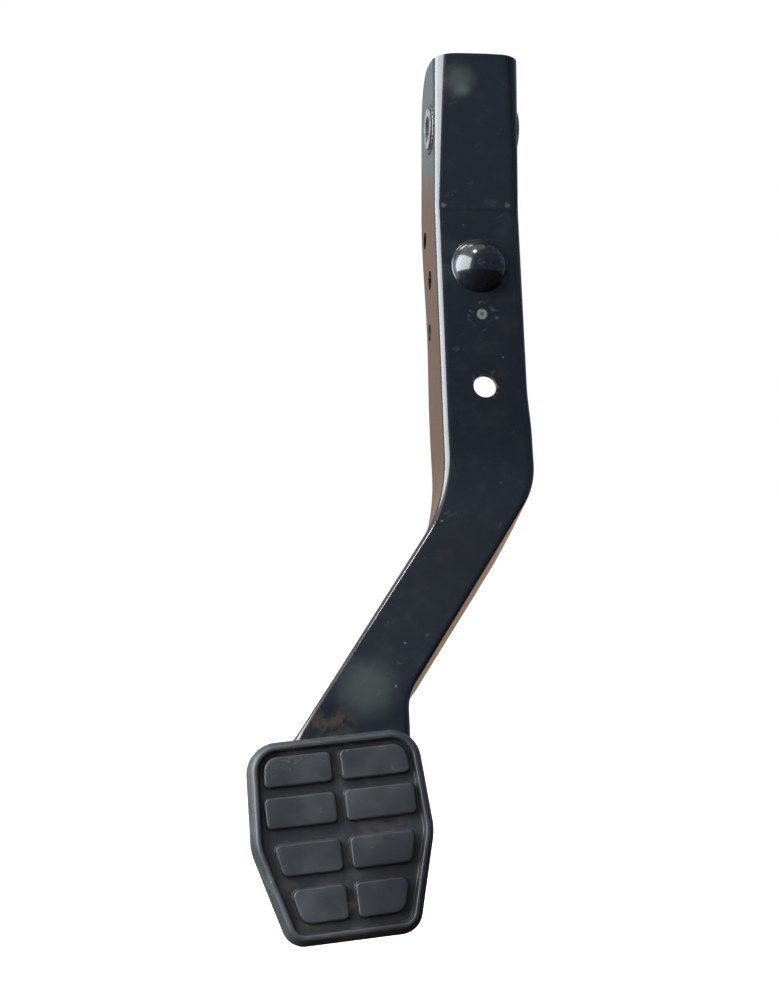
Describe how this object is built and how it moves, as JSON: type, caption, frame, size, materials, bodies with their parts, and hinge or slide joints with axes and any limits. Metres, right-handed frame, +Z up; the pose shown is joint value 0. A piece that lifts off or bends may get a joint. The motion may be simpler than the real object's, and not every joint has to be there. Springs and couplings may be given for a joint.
{
  "type": "car brake pedal",
  "caption": "Hanging car brake pedal: a cranked black steel channel arm with a pivot tube and bushes, a switch dome, and a ribbed black rubber foot pad.",
  "frame": {"origin": "centre of the pivot bore", "axes": "+X along the pivot to the driver's right, +Y forward away from the driver, +Z up with the pedal hanging"},
  "size_m": [0.1122, 0.1284, 0.3276],
  "materials": {
    "black_paint": "gloss black enamel, worn and dusty",
    "weld_bead": "painted weld bead",
    "pad_rubber": "satin black rubber, dusty",
    "bush_plastic": "natural nylon, greasy"
  },
  "bodies": {
    "root": {"pedal_arm": "black_paint", "foot_plate": "black_paint", "foot_weld": "weld_bead", "pedal_pad": "pad_rubber", "pivot_tube": "black_paint", "tube_weld_left": "weld_bead", "tube_weld_right": "weld_bead", "bush_left": "bush_plastic", "bush_right": "bush_plastic"}
  },
  "joints": []
}
